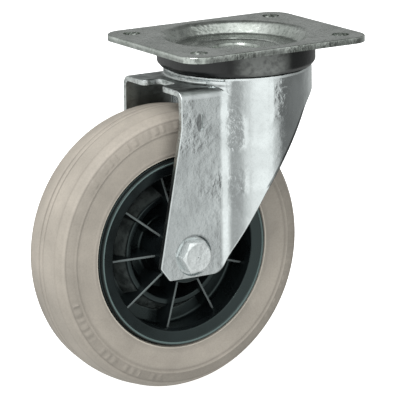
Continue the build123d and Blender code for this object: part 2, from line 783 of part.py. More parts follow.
# ---------------------------------------------------------------- wheel
with BuildPart() as wheel_centre:
    # hub, web and rim as one turned section, half of it mirrored
    for side in (-1, 1):
        with BuildSketch(axle_plane):
            with BuildLine():
                FilletPolyline(
                    (hub_bore_radius, 0),
                    (hub_bore_radius, side * hub_half_length),
                    (hub_radius - moulded_bend, side * hub_half_length),
                    (hub_radius, side * web_half_thickness),
                    (rim_inner_radius, side * web_half_thickness),
                    (rim_inner_radius, side * (rim_half_width + moulded_bend - rim_band_slope)),
                    (rim_band_inner_radius, side * (rim_half_width + moulded_bend)),
                    (rim_band_crest_radius, side * (rim_half_width + rim_bulge)),
                    (rim_radius, side * rim_half_width),
                    (rim_radius, side * rim_seat_half_width),
                    (rim_seat_radius, side * rim_seat_half_width),
                    (rim_seat_radius, 0),
                    close=True,
                    radius=(
                        0,
                        0,
                        moulded_bend,
                        web_bend,
                        web_bend,
                        moulded_bend / 2,
                        moulded_bend,
                        rim_crest_bend,
                        rim_edge_radius,
                        tyre_lip_bend,
                        rim_seat_bend,
                        0,
                    ),
                )
            make_face()
        revolve(axis=axle_axis)
        # ring ridge on the web, with sloping flanks
        with BuildSketch(axle_plane):
            with BuildLine():
                FilletPolyline(
                    (ridge_radius - ridge_foot_half_width, 0),
                    (ridge_radius - ridge_foot_half_width, side * web_half_thickness),
                    (ridge_radius - ridge_crest_half_width, side * ridge_half_height),
                    (ridge_radius + ridge_crest_half_width, side * ridge_half_height),
                    (ridge_radius + ridge_foot_half_width, side * web_half_thickness),
                    (ridge_radius + ridge_foot_half_width, 0),
                    close=True,
                    radius=(0, 0, moulded_bend, moulded_bend, 0, 0),
                )
            make_face()
        revolve(axis=axle_axis)
    # nine ribs from hub to rim, on both sides of the web
    for rib in range(rib_count):
        angle = radians(rib_first_angle + 360 / rib_count * rib)
        rib_plane = Plane(
            origin=axle_centre,
            x_dir=(cos(angle), 0, sin(angle)),
            z_dir=(-sin(angle), 0, cos(angle)),
        )
        with BuildSketch(rib_plane):
            with BuildLine():
                Polyline(
                    (hub_radius - 2 * moulded_overlap, -rib_half_height_hub),
                    (hub_radius - 2 * moulded_overlap, rib_half_height_hub),
                    (rim_inner_radius + moulded_overlap, rib_half_height_rim),
                    (rim_inner_radius + moulded_overlap, -rib_half_height_rim),
                    close=True,
                )
            make_face()
        extrude(amount=rib_thickness / 2, both=True)
wheel_centre.part.label = "wheel_centre"
export_step(wheel_centre.part, "parts/wheel_centre.step")

with BuildPart() as tyre:
    with BuildSketch(axle_plane):
        with BuildLine():
            FilletPolyline(
                (rim_seat_radius, -rim_seat_half_width),
                (rim_seat_radius, rim_seat_half_width),
                (rim_radius, rim_seat_half_width),
                (rim_radius, rim_half_width - rim_edge_radius),
                (tyre_lip_radius, tyre_lip_half_width),
                (tyre_lip_radius + tyre_shoulder_radius, tyre_half_width),
                (tyre_radius - tyre_crown, tyre_half_width),
                (tyre_radius, tread_flat_half_width),
                (tyre_radius, -tread_flat_half_width),
                (tyre_radius - tyre_crown, -tyre_half_width),
                (tyre_lip_radius + tyre_shoulder_radius, -tyre_half_width),
                (tyre_lip_radius, -tyre_lip_half_width),
                (rim_radius, -rim_half_width + rim_edge_radius),
                (rim_radius, -rim_seat_half_width),
                close=True,
                radius=(
                    rim_seat_bend,
                    rim_seat_bend,
                    0,
                    0,
                    tyre_lip_bend,
                    tyre_side_bend,
                    tyre_shoulder_radius,
                    tread_bend,
                    tread_bend,
                    tyre_shoulder_radius,
                    tyre_side_bend,
                    tyre_lip_bend,
                    0,
                    0,
                ),
            )
        make_face()
    revolve(axis=axle_axis)
tyre.part.label = "tyre"
export_step(tyre.part, "parts/tyre.step")
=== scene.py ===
"""Looks of the swivel castor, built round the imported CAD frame.

Everything is in metres in the frame's own axes: +Z out of the mounting plate, the wheel
trailing towards -X and the axle along Y. Lengths written here are in millimetres, made metres
by MM or by mm().
"""

import json
import math

import bmesh
import bpy
import numpy as np
from mathutils import Matrix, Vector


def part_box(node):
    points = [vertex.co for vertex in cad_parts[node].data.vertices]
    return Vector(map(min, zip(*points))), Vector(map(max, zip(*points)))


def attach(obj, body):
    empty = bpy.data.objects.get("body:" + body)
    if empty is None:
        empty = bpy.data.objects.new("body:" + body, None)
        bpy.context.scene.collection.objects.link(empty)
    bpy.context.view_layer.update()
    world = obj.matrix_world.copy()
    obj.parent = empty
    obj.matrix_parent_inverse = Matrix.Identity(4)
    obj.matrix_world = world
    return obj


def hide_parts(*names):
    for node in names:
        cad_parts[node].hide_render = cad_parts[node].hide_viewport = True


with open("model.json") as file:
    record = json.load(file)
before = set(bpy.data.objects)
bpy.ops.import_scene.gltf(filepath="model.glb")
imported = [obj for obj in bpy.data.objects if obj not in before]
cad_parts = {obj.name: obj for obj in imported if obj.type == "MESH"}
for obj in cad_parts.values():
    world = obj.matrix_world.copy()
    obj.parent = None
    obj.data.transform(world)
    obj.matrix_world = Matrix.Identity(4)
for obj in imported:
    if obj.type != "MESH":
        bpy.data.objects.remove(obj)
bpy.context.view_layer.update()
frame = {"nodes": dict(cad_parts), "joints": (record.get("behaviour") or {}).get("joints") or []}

MM = 0.001
TURN = 2 * math.pi


def mm(*lengths):
    """Lengths in millimetres as metres."""
    return tuple(length * MM for length in lengths)


# ---------------------------------------------------------------- sizes taken from the frame
JOINTS = {joint["name"]: joint for joint in frame["joints"]}
AXLE = np.array(JOINTS["wheel_spin"]["pos_m"])
TYRE_LOW, TYRE_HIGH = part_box("tyre")
TYRE_RADIUS = (TYRE_HIGH[2] - TYRE_LOW[2]) / 2
TYRE_HALF_WIDTH = TYRE_HIGH[1]
CENTRE_LOW, CENTRE_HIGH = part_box("wheel_centre")
RIM_RADIUS = (CENTRE_HIGH[2] - CENTRE_LOW[2]) / 2
HUB_HALF_LENGTH = CENTRE_HIGH[1]
SEAL_LOW, SEAL_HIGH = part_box("seal_ring")
SEAL_RADIUS = SEAL_HIGH[0]
PLATE_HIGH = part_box("top_plate")[1]
BOLT_LOW, BOLT_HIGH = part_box("axle_bolt")
NUT_LOW, NUT_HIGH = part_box("axle_nut")
FLOOR_Z = TYRE_LOW[2]

# how far tread and shank stay inside their nodes, and the radius that closes a shape's pole
SKIN_BACK = 0.02 * MM
POLE_RADIUS = 0.2 * MM

# tyre; its sidewalls stand SHOULDER_BACK inside the node's width
SHOULDER_RADIUS = 13 * MM
SHOULDER_BACK = 0.35 * MM
TREAD_CROWN = 3.0 * MM
TREAD_FLAT = 4 * MM
TREAD_DEPTH = 2.5 * MM
SIDE_START = 17 * MM
LIP_RADIUS = 61.6 * MM
LIP_HALF_WIDTH = 21.8 * MM
LIP_DEPTH = 1.5 * MM
SEAT_RADIUS = 56 * MM
SEAT_HALF_WIDTH = 17 * MM
TYRE_STEPS = 450
TYRE_SPACING = 0.7 * MM

# tyre's moulded rings: place, half width and height in mm, a groove with a height below zero;
# the place is the radius on the sidewalls and the distance from the middle plane on the tread
SIDE_RINGS = [
    (84.9, 0.7, 0.30),
    (77.9, 0.9, 0.30),
    (81.3, 3.4, -0.25),
    (76.5, 1.0, -0.25),
    (63.6, 1.2, 0.25),
]
TREAD_RINGS = [(13.6, 1.2, 0.22), (2.2, 1.3, -0.5)]

# where the tyre's grid is fine: in the sidewall's band, and RING_MARGIN mm round other rings
BAND_INNER = 75 * MM
BAND_OUTER = 87 * MM
RING_MARGIN = 0.4

# tyre's raised bars: half widths and slope are in shares of a bar's step round the wheel, and
# WIDTHS and GAPS times a bar's number are the angles whose sines give its width and the gaps
BAR_COUNT = 96
BAR_RADIUS = 81.3 * MM
BAR_REACH = 2.5 * MM
BAR_HEIGHT = 0.62 * MM
BAR_HALF_WIDTH = 0.26
BAR_UNEVENNESS = 0.12
BAR_SLOPE = 12
BAR_WIDTHS = 2.4
BAR_GAPS = 1.7
BAR_GAP_BELOW = -0.75
BAR_GROUPS = 3
BAR_GROUPS_START = 0.6
BAR_GROUPS_LEVEL = 1.4

# wheel centre; the rim's bead is counted back from the rim's radius and its bulge
RIM_HALF_WIDTH = 21 * MM
RIM_BULGE = 3 * MM
RIM_BAND_INNER = 51 * MM
RIM_BAND_FOOT = 1.2 * MM
RIM_INNER = 50 * MM
RIM_INNER_DEPTH = 3 * MM
RIM_BEAD_FOOT = 3.2 * MM
RIM_BEAD_CREST = 2.2 * MM
RIM_BEAD_EDGE = 1.0 * MM
RIM_BEAD_HEIGHT = 1 * MM
RIM_BEAD_DROP = 0.4 * MM
RIM_CHAMFER = mm(0.6, 0.5)
WEB_HALF = 2.5 * MM
RIDGE_RADIUS = 34 * MM
RIDGE_HALF_HEIGHT = 13 * MM
RIDGE_CREST_HALF = 1.5 * MM
RIDGE_FOOT_HALF = 8 * MM
RIDGE_SUNK = 1 * MM
RIDGE_ROUNDING = 0.9 * MM
HUB_RADIUS = 20 * MM
HUB_DRAFT = 1 * MM
HUB_BORE = 13 * MM
RIB_COUNT = 9
RIB_FIRST_ANGLE = math.radians(22)
RIB_THICKNESS = 4.4 * MM
RIB_CREST = 1.4 * MM
RIB_START = HUB_RADIUS - 2 * MM
RIB_END = RIM_INNER + 0.5 * MM
RIB_HALF_HEIGHT_HUB = 20 * MM
RIB_HALF_HEIGHT_RIM = 14 * MM
RIB_SLOPE = (RIB_HALF_HEIGHT_HUB - RIB_HALF_HEIGHT_RIM) / (RIB_END - RIB_START)

# fasteners; HEX_CHAMFER is the share of a hexagon's half width that its chamfer takes, and the
# shank's rings start THREAD_LEAD before its thread
ACROSS_FLATS = 19 * MM
HEX_STEPS = 180
HEX_CHAMFER = 0.09
HEX_CHAMFER_ANGLE = math.radians(60)
HEAD_DISH = 0.25 * MM
SMALLEST_BORE = 0.3 * MM
SHANK_RADIUS = 6 * MM
SHANK_STEPS = 64
THREAD_PITCH = 1.75 * MM
THREAD_DEPTH = 0.9 * MM
THREAD_BEFORE_NUT = 3 * MM
THREAD_LEAD = 1 * MM
TIP_CHAMFER = 1.2 * MM
HEAD_SEAT_Y = -33.2 * MM
NUT_COLLAR_RADIUS = 8.4 * MM
NUT_COLLAR_HEIGHT = 3 * MM
NUT_COLLAR_OVERLAP = 1 * MM
INSERT_RADIUS = 7.4 * MM

# fork: the middle of a leg's sheet and of the shelf's, and where its front edges begin; a
# normal below FACES_IN across the middle plane leans inwards, one below FACES_FRONT along X
# belongs to a front edge
LEG_MIDDLE = 33.2 * MM
SHELF_MIDDLE = -26 * MM
FRONT_EDGES = -30 * MM
FACES_IN = -0.3
FACES_FRONT = -0.9

# seal
SEAL_WALL = 2.2 * MM
SEAL_TAPER = 2.2 * MM
SEAL_TAPER_HEIGHT = 2.6 * MM


# ---------------------------------------------------------------- surfaces
def rounded(points, radii, steps=6, closed=True):
    """Polyline with its corners replaced by tangent arcs.

    Each corner with radius r is cut back by r * tan(half the turn) along both its sides, and
    the arc between the cuts is sampled as the circle of radius r that touches both sides.
    """
    points = np.asarray(points, float)
    count = len(points)
    out = []
    for i in range(count):
        here, radius = points[i], radii[i]
        if radius <= 0 or (not closed and i in (0, count - 1)):
            out.append(here[None])
            continue
        back = points[i - 1] - here
        ahead = points[(i + 1) % count] - here
        back, ahead = back / np.linalg.norm(back), ahead / np.linalg.norm(ahead)
        half = math.acos(np.clip(back @ ahead, -1, 1)) / 2
        reach = radius / math.tan(half)
        bisector = (back + ahead) / np.linalg.norm(back + ahead)
        middle = here + bisector * radius / math.sin(half)
        start, end = here + back * reach - middle, here + ahead * reach - middle
        sweep = math.pi - 2 * half
        t = np.linspace(0, 1, steps + 1)[:, None]
        arc = (np.sin((1 - t) * sweep) * start + np.sin(t * sweep) * end) / math.sin(sweep)
        out.append(middle + arc)
    return np.concatenate(out)


def spaced(profile, longest, detailed):
    """Closed profile with points added, no further apart than longest where detailed says so.

    Elsewhere one added point in four is kept. detailed(points) is true for each point that
    lies where the relief changes.
    """
    ahead = np.roll(profile, -1, axis=0)
    out = []
    for a, b in zip(profile, ahead):
        cuts = max(1, math.ceil(np.linalg.norm(b - a) / longest))
        points = a + (b - a) * (np.arange(cuts) / cuts)[:, None]
        out.append(points[detailed(points) | (np.arange(cuts) % 4 == 0)])
    return np.concatenate(out)


def skin(name, grid, wrap_rows=True, wrap_columns=True, sharp=40):
    """Mesh of quads over a grid of points, rows by columns by 3.

    Neighbouring points (row, column), (row + 1, column), (row + 1, column + 1) and
    (row, column + 1) make one face. A side that wraps joins its last points to its first. The
    faces are turned outwards by the sign of the volume that they enclose.
    """
    rows, columns = grid.shape[:2]
    index = np.arange(rows * columns).reshape(rows, columns)
    if wrap_rows:
        index = np.vstack([index, index[:1]])
    if wrap_columns:
        index = np.hstack([index, index[:, :1]])
    faces = np.stack([index[:-1, :-1], index[1:, :-1], index[1:, 1:], index[:-1, 1:]], -1)
    return shell(name, grid.reshape(-1, 3), faces.reshape(-1, 4), sharp)


def shell(name, points, faces, sharp=40):
    """Mesh from points and quads, merged where points meet, smooth, facing outwards."""
    a, b, c, d = (points[faces[:, k]] for k in range(4))
    volume = np.einsum("ij,ij->i", np.cross(b - a, c - a) + np.cross(c - a, d - a), a).sum()
    if volume < 0:
        faces = faces[:, ::-1]
    mesh = bpy.data.meshes.new(name)
    mesh.from_pydata(points.tolist(), [], faces.tolist())
    return smoothed(name, mesh, sharp, gap=1e-6)


def smoothed(name, mesh, sharp, gap):
    """Piece from a mesh: points within a gap are merged, and edges are soft up to an angle."""
    work = bmesh.new()
    work.from_mesh(mesh)
    bmesh.ops.remove_doubles(work, verts=work.verts, dist=gap)
    bmesh.ops.dissolve_degenerate(work, edges=work.edges, dist=1e-7)
    work.to_mesh(mesh)
    work.free()
    mesh.polygons.foreach_set("use_smooth", np.ones(len(mesh.polygons), bool))
    mesh.set_sharp_from_angle(angle=math.radians(sharp))
    piece = bpy.data.objects.new(name, mesh)
    bpy.context.scene.collection.objects.link(piece)
    return piece


def angles_round(steps, first=0.0):
    """Column of equal angles round a turn; the first is a share of a step past zero."""
    return ((np.arange(steps) + first) / steps * TURN)[:, None]


def round_axle(radius, along, angle):
    """Grid of points AXLE + (r cos a, y, r sin a), with a row for each angle a."""
    ahead = radius * np.cos(angle)
    return AXLE + np.stack([ahead, np.broadcast_to(along, ahead.shape), radius * np.sin(angle)], -1)


def turned_on_axle(name, profile, steps=256, relief=None, sharp=40):
    """Closed profile of (radius, y) turned round the axle.

    A profile point (r, y) at angle a lies at AXLE + (r cos a, y, r sin a). relief(angle,
    radius, y) is a height in metres, laid along the profile's outward normal.
    """
    angle = angles_round(steps)
    radius, along = profile[:, 0], profile[:, 1]
    if relief is not None:
        tangent = np.roll(profile, -1, axis=0) - np.roll(profile, 1, axis=0)
        normal = np.stack([tangent[:, 1], -tangent[:, 0]], -1)
        normal /= np.linalg.norm(normal, axis=1)[:, None]
        area = np.sum(radius * np.roll(along, -1)) - np.sum(np.roll(radius, -1) * along)
        normal *= np.sign(area)
        height = relief(angle, radius, along)
        radius = radius + height * normal[:, 0]
        along = along + height * normal[:, 1]
    return skin(name, round_axle(radius, along, angle), sharp=sharp)


def turned_on_swivel(name, profile, steps=192, sharp=40):
    """Closed profile of (radius, z) turned round the swivel axis: (r cos a, r sin a, z)."""
    angle = angles_round(steps)
    radius, height = profile[:, 0], profile[:, 1]
    grid = np.stack([radius * np.cos(angle), radius * np.sin(angle), height + 0 * angle], -1)
    return skin(name, grid, sharp=sharp)


def mirrored(profile):
    """Closed (radius, y) profile from its half at y >= 0, whose ends lie on y = 0."""
    other = profile[::-1] * [1, -1]
    return np.concatenate([profile, other[1:-1]])


def merged_copy(name, node, sharp):
    """Copy of a CAD node's mesh with its loose triangles merged and smoothed by angle."""
    mesh = frame["nodes"][node].data.copy()
    mesh.name = name
    mesh.materials.clear()
    if "custom_normal" in mesh.attributes:
        mesh.attributes.remove(mesh.attributes["custom_normal"])
    piece = smoothed(name, mesh, sharp, gap=2e-6)
    weigh = piece.modifiers.new("flat faces stay flat", "WEIGHTED_NORMAL")
    weigh.keep_sharp = True
    weigh.weight = 70
    return piece


def dress(piece, finish, body, slot, *nodes):
    """Finishes a piece: its material, the body it rides on and the CAD it replaces; slot is not
    used.
    """
    piece.data.materials.clear()
    piece.data.materials.append(finish)
    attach(piece, body)
    if nodes:
        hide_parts(*nodes)


# ---------------------------------------------------------------- materials
def opaque(colour):
    """Colour or grey with full alpha."""
    return (*colour, 1) if isinstance(colour, tuple) else (colour, colour, colour, 1)


class Nodes:
    """The nodes of a material or a world, with short calls for those that are needed."""

    def __init__(self, owner):
        owner.use_nodes = True
        self.tree = owner.node_tree

    def node(self, kind, inputs=None, **settings):
        """New node with its settings; an input is linked from a socket or set to a value."""
        node = self.tree.nodes.new(kind)
        for key, value in settings.items():
            setattr(node, key, value)
        for key, value in (inputs or {}).items():
            self.feed(node.inputs[key], value)
        return node

    def feed(self, socket, value):
        """Links a socket from another one, or sets it to a value."""
        if isinstance(value, bpy.types.NodeSocket):
            self.tree.links.new(value, socket)
        else:
            socket.default_value = value

    def ramp(self, value, stops, smooth=False):
        """Colour or grey looked up from a value by (position, colour) stops."""
        node = self.node("ShaderNodeValToRGB", {"Fac": value})
        node.color_ramp.interpolation = "EASE" if smooth else "LINEAR"
        elements = node.color_ramp.elements
        for i, (position, colour) in enumerate(stops):
            stop = elements[i] if i < 2 else elements.new(position)
            stop.position = position
            stop.color = opaque(colour)
        return node.outputs["Color"]

    def blend(self, how, factor, a, b):
        """Two colours or greys mixed by a Mix node's way and factor."""
        a, b = (c if isinstance(c, bpy.types.NodeSocket) else opaque(c) for c in (a, b))
        node = self.node("ShaderNodeMix", data_type="RGBA", blend_type=how)
        for slot, value in ((0, factor), (6, a), (7, b)):
            self.feed(node.inputs[slot], value)
        return node.outputs[2]

    def shaded(self, colour, shade):
        """Colour multiplied by a grey from 0 to 1."""
        return self.blend("MULTIPLY", 1.0, colour, shade)

    def maths(self, how, *values):
        """One Math node's result."""
        return self.node("ShaderNodeMath", dict(enumerate(values)), operation=how).outputs[0]

    def product(self, first, *others):
        """Values multiplied one after the other."""
        for other in others:
            first = self.maths("MULTIPLY", first, other)
        return first

    def step(self, value, start, end, low=0.0, high=1.0):
        """Smooth step from low to high while the value goes from start to end."""
        values = {"Value": value, 1: start, 2: end, 3: low, 4: high}
        kind = "ShaderNodeMapRange"
        return self.node(kind, values, interpolation_type="SMOOTHSTEP").outputs[0]


class Finish(Nodes):
    """A material whose pattern is laid out by the place on the piece."""

    def __init__(self, name):
        self.material = bpy.data.materials.new(name)
        super().__init__(self.material)
        self.shader = self.tree.nodes["Principled BSDF"]
        self.place = self.node("ShaderNodeTexCoord").outputs["Object"]

    def noise(self, scale, detail=3.0, rough=0.5, distort=0.0):
        """Noise from 0 to 1; scale is in cells for each metre."""
        values = {
            "Vector": self.place,
            "Scale": scale,
            "Detail": detail,
            "Roughness": rough,
            "Distortion": distort,
        }
        return self.node("ShaderNodeTexNoise", values).outputs["Fac"]

    def vector(self, how, *values, output="Vector"):
        """One Vector Math node's result."""
        inputs = dict(enumerate(values))
        return self.node("ShaderNodeVectorMath", inputs, operation=how).outputs[output]

    def along(self, *direction):
        """Distance of the place from the origin along a direction."""
        return self.vector("DOT_PRODUCT", self.place, direction, output="Value")

    def aside(self, axis):
        """Distance of the place from the middle plane that is square to X (0) or Y (1)."""
        return self.maths("ABSOLUTE", self.along(*np.eye(3)[axis].tolist()))

    def from_place(self, centre, size):
        """Distance from a centre, counted in half sizes along each axis."""
        off = self.vector("SUBTRACT", self.place, centre)
        scaled = self.vector("MULTIPLY", off, tuple(1 / s for s in size))
        return self.vector("LENGTH", scaled, output="Value")

    def from_axle(self, unit=1.0):
        """Radius round the axle, counted in a unit; the place along it hardly counts."""
        return self.from_place(tuple(AXLE), (unit, 100000.0, unit))

    def bump(self, height, distance, strength=1.0, after=None):
        """Normal raised by a height from 0 to 1, which stands for a distance in metres."""
        values = {"Height": height, "Distance": distance, "Strength": strength}
        if after is not None:
            values["Normal"] = after
        return self.node("ShaderNodeBump", values).outputs["Normal"]

    def left_by(self, *painted_shade):
        """Grey of painted shade: 1 less the largest of mark times strength."""
        depths = [self.maths("MULTIPLY", mark, strength) for mark, strength in painted_shade]
        deepest = depths[0]
        for depth in depths[1:]:
            deepest = self.maths("MAXIMUM", deepest, depth)
        return self.maths("SUBTRACT", 1.0, deepest)

    def use(self, **sockets):
        """Sets or links the shader's own sockets; a double underscore stands for a space."""
        for key, value in sockets.items():
            self.feed(self.shader.inputs[key.replace("__", " ")], value)
        return self.material


def zinc(
    name,
    dark,
    light,
    flecks=0.3,
    rough=0.15,
    ripple=0.16 * MM,
    cell=300,
    painted_shade=None,
    calm=None,
    dull=None,
):
    """Bright zinc coat on pressed steel.

    Colour: soft patches of two greys with small darker flecks. Shape: a shallow ripple, cell
    waves to the metre, that comes and goes over the sheet, and a finer grain, both as bump.
    Gloss: the flecks are duller. painted_shade gives a piece's painted shade, calm the strength of
    its ripple and dull the share of its rougher surface, where it has any.
    """
    finish = Finish(name)
    patches = finish.noise(60, 3, 0.5, 0.4)
    specks = finish.noise(520, 3, 0.6)
    mix = finish.ramp(patches, [(0.35, dark), (0.65, light)], smooth=True)
    colour = finish.shaded(mix, finish.ramp(specks, [(0.34, 1 - flecks), (0.5, 1.0)]))
    # painted shade of the piece, where it has any
    if painted_shade is not None:
        colour = finish.shaded(colour, painted_shade(finish))
    roughness = finish.ramp(specks, [(0.3, rough + 0.12), (0.5, rough)])
    if dull is not None:
        roughness = finish.blend("MIX", dull(finish), roughness, 0.4)
    where = finish.ramp(finish.noise(38, 2, 0.5), [(0.42, 0.25), (0.6, 1.0)], smooth=True)
    dents = finish.shaded(finish.noise(cell, 2, 0.5), where)
    if calm is not None:
        dents = finish.shaded(dents, calm(finish))
    waves = finish.bump(dents, 2 * ripple)
    normal = finish.bump(finish.noise(800, 2, 0.5), 0.03 * MM, after=waves)
    return finish.use(Base__Color=colour, Metallic=1.0, Roughness=roughness, Normal=normal)


# places of the fork's painted shade; a pair is where a mark starts and where it is full
REAR_EDGE_ACROSS = (0.8353, 0, -0.5498)
REAR_EDGE_STRIP = mm(42.4, 43.3)
REAR_EDGE_FOOT = mm(-91, -88)
REAR_EDGE_HEAD = mm(-41, -46)
LEG_MARK_PLACE = mm(-49.6, -34.5, -45)
LEG_MARK_SIZE = mm(2.2, 20, 6.2)
SHELF_FOOT = mm(-25.3, -24.7)
SHELF_HEAD = mm(-23.2, -23.8)
SHELF_FRONT = mm(-26, -32)
DIMPLE_INSIDE = mm(10.8, 12.0)
DIMPLE_OUTSIDE = mm(14.2, 13.0)
DIMPLE_ABOVE = (-0.25, 0, 0.97)
DIMPLE_RISE = mm(3, 8)
STRAP_FRONT = mm(-29, -32)
STRAP_FOOT = mm(-115, -75)

# places where the fork's ripple is weaker, and of its rough bends
CALM_ENDS = mm(-125, -85)
CALM_SIDES_MIDDLE = -11.8 * MM
CALM_SIDES = mm(6.2, 10)
CALM_STRAP = mm(-29, -33)
BEND_FOOT = mm(-31.5, -28.5)
BEND_HEAD = mm(-22.8, -23.4)
BEND_FRONT = mm(-30.5, -34.5)

# strips on the fork's inner faces and on the plate's cut edges, that place their painted shade
INNER_FRONT_STRIP = mm(-57.5, -52.5)
PLATE_EDGE_STRIP = mm(-0.8, -0.3)
PLATE_EDGE_LOWER = mm(-0.8, -2.8)


def fork_painted_shade(finish):
    """Painted shade on the fork.

    A painted dark reflection runs along the rear cut edge, a strip along its sloping line between
    two heights. Painted shade fills the near leg's stamped mark, an ellipsoid round its centre.
    The shelves get painted shade in the crease in front of the crown, a thin layer of height
    clouded by noise. The dimple's rim gets a painted shadow, a ring round the axle, dark above
    it. The legs' upper halves get painted shade, a trace darker than their ends.
    """
    height, ahead = finish.along(0, 0, 1), finish.along(1, 0, 0)
    rear_edge = finish.product(
        finish.step(finish.along(*REAR_EDGE_ACROSS), *REAR_EDGE_STRIP),
        finish.step(height, *REAR_EDGE_FOOT),
        finish.step(height, *REAR_EDGE_HEAD),
    )
    leg_mark_shade = finish.step(finish.from_place(LEG_MARK_PLACE, LEG_MARK_SIZE), 1.1, 0.75)
    shelves = finish.product(
        finish.step(height, *SHELF_FOOT),
        finish.step(height, *SHELF_HEAD),
        finish.step(ahead, *SHELF_FRONT),
        finish.step(finish.noise(260, 3, 0.6), 0.35, 0.65, 0.5, 1.0),
    )
    radius = finish.from_axle()
    above = [float(AXLE @ DIMPLE_ABOVE) + rise for rise in DIMPLE_RISE]
    dimple_rim = finish.product(
        finish.step(radius, *DIMPLE_INSIDE),
        finish.step(radius, *DIMPLE_OUTSIDE),
        finish.step(finish.along(*DIMPLE_ABOVE), *above),
    )
    strap = finish.product(finish.step(ahead, *STRAP_FRONT), finish.step(height, *STRAP_FOOT))
    # painted shade and a painted dark reflection, each with its strength
    return finish.left_by(
        (rear_edge, 0.7), (leg_mark_shade, 0.62), (shelves, 0.62), (dimple_rim, 0.42), (strap, 0.04)
    )


def fork_calm(finish):
    """Strength of the fork's ripple: weak at the legs' ends and in a band down each side."""
    ahead = finish.along(1, 0, 0)
    aside = finish.maths("ABSOLUTE", finish.maths("SUBTRACT", ahead, CALM_SIDES_MIDDLE))
    return finish.product(
        finish.step(finish.along(0, 0, 1), *CALM_ENDS, 0.35, 1.0),
        finish.step(aside, *CALM_SIDES, 0.08, 1.0),
        finish.step(ahead, *CALM_STRAP, 1.0, 0.72),
    )


def fork_bends(finish):
    """The shelves and their bends, drawn rough by the press: a layer in front of the crown."""
    height = finish.along(0, 0, 1)
    return finish.product(
        finish.step(height, *BEND_FOOT),
        finish.step(height, *BEND_HEAD),
        finish.step(finish.along(1, 0, 0), *BEND_FRONT),
    )


def inner_painted_shade(finish):
    """Painted shade on the fork's inner faces, all but a strip behind the front edges of the legs.
    """
    return finish.left_by((finish.step(finish.along(1, 0, 0), *INNER_FRONT_STRIP), 0.5))


def plate_edge_painted_shade(finish):
    """Painted shade on the plate's straight cut edges, most of all in their lower halves."""
    edges = [
        finish.step(finish.aside(k), *(PLATE_HIGH[k] + place for place in PLATE_EDGE_STRIP))
        for k in (0, 1)
    ]
    # painted shade, deepest in the edges' lower halves
    lower = finish.step(finish.along(0, 0, 1), *PLATE_EDGE_LOWER, 0.08, 0.52)
    cloud = finish.step(finish.noise(260, 3, 0.6), 0.35, 0.65, 0.6, 1.0)
    return finish.left_by((finish.maths("MAXIMUM", *edges), finish.product(lower, cloud)))


# darker rings on the sidewall, grey against the radius in RUBBER_UNIT, and darker lines on the
# tread, against the place across it, from minus half of TREAD_UNIT at 0 to plus half of it at 1
RUBBER_UNIT = 100 * MM
TREAD_UNIT = 60 * MM
RUBBER_RINGS = [
    (0.615, 1.0),
    (0.622, 1.0),
    (0.632, 0.90),
    (0.650, 0.97),
    (0.745, 1.0),
    (0.762, 0.80),
    (0.770, 0.84),
    (0.778, 1.0),
    (0.784, 0.80),
    (0.812, 0.82),
    (0.834, 0.82),
    (0.841, 0.64),
    (0.847, 1.0),
    (0.856, 1.0),
    (0.864, 0.93),
    (0.880, 1.0),
]
RUBBER_LINES = [
    (0.20, 1.0),
    (0.245, 0.97),
    (0.262, 0.80),
    (0.28, 1.0),
    (0.44, 1.0),
    (0.458, 0.58),
    (0.476, 1.0),
    (0.52, 1.0),
    (0.537, 0.52),
    (0.556, 1.0),
    (0.74, 0.82),
    (0.76, 1.0),
]

# on the radius in RUBBER_UNIT: where the tread's darker lines begin, and both sides of the painted
# highlight on the lip
TREAD_LINES_START = (0.865, 0.885)
LIP_INSIDE = (0.611, 0.615)
LIP_OUTSIDE = (0.624, 0.619)


def rubber():
    """Grey-beige rubber: cloudy shade, dusty grain, darker rings and lines, a painted highlight on
    the lip.
    """
    finish = Finish("tyre rubber")
    cloud = finish.noise(28, 4, 0.6, 0.3)
    speck = finish.noise(900, 2, 0.6)
    greys = [(0.3, (0.32, 0.288, 0.25)), (0.5, (0.38, 0.342, 0.297)), (0.7, (0.435, 0.39, 0.338))]
    colour = finish.shaded(finish.ramp(cloud, greys), finish.ramp(speck, [(0.3, 0.9), (0.6, 1.0)]))
    radius = finish.from_axle(RUBBER_UNIT)
    colour = finish.shaded(colour, finish.ramp(radius, RUBBER_RINGS))
    across = finish.maths("DIVIDE", finish.along(0, 1, 0), TREAD_UNIT)
    lines = finish.ramp(finish.maths("ADD", across, 0.5), RUBBER_LINES)
    patchy = finish.step(finish.noise(16, 2, 0.5), 0.38, 0.6, 0.45, 1.0)
    outside = finish.product(finish.step(radius, *TREAD_LINES_START), patchy)
    colour = finish.blend("MULTIPLY", outside, colour, lines)
    # painted highlight: a light cream ring along the lip
    lip_highlight = finish.product(finish.step(radius, *LIP_INSIDE), finish.step(radius, *LIP_OUTSIDE), 0.8)
    colour = finish.blend("MIX", lip_highlight, colour, (0.66, 0.61, 0.53))
    grain = finish.bump(speck, 0.08 * MM, 0.5)
    return finish.use(Base__Color=colour, Roughness=0.62, Specular__IOR__Level=0.35, Normal=grain)


def black_plastic(name, rough, shine=0.55, painted_light=None):
    """Moulded black plastic: nearly black, faint flow marks and slightly pebbled gloss.

    painted_light(finish, colour) gives the colour with a piece's painted light, where it has any.
    """
    finish = Finish(name)
    flow = finish.noise(70, 3, 0.5)
    colour = finish.ramp(flow, [(0.3, (0.0035, 0.0045, 0.005)), (0.7, (0.007, 0.0095, 0.0105))])
    # painted light of the piece, where it has any
    if painted_light is not None:
        colour = painted_light(finish, colour)
    return finish.use(
        Base__Color=colour,
        Roughness=finish.ramp(flow, [(0.3, rough - 0.04), (0.7, rough + 0.08)]),
        Specular__IOR__Level=shine,
        Specular__Tint=(0.78, 1.0, 0.98, 1.0),
        Normal=finish.bump(finish.noise(1100, 2), 0.05 * MM, 0.5),
    )


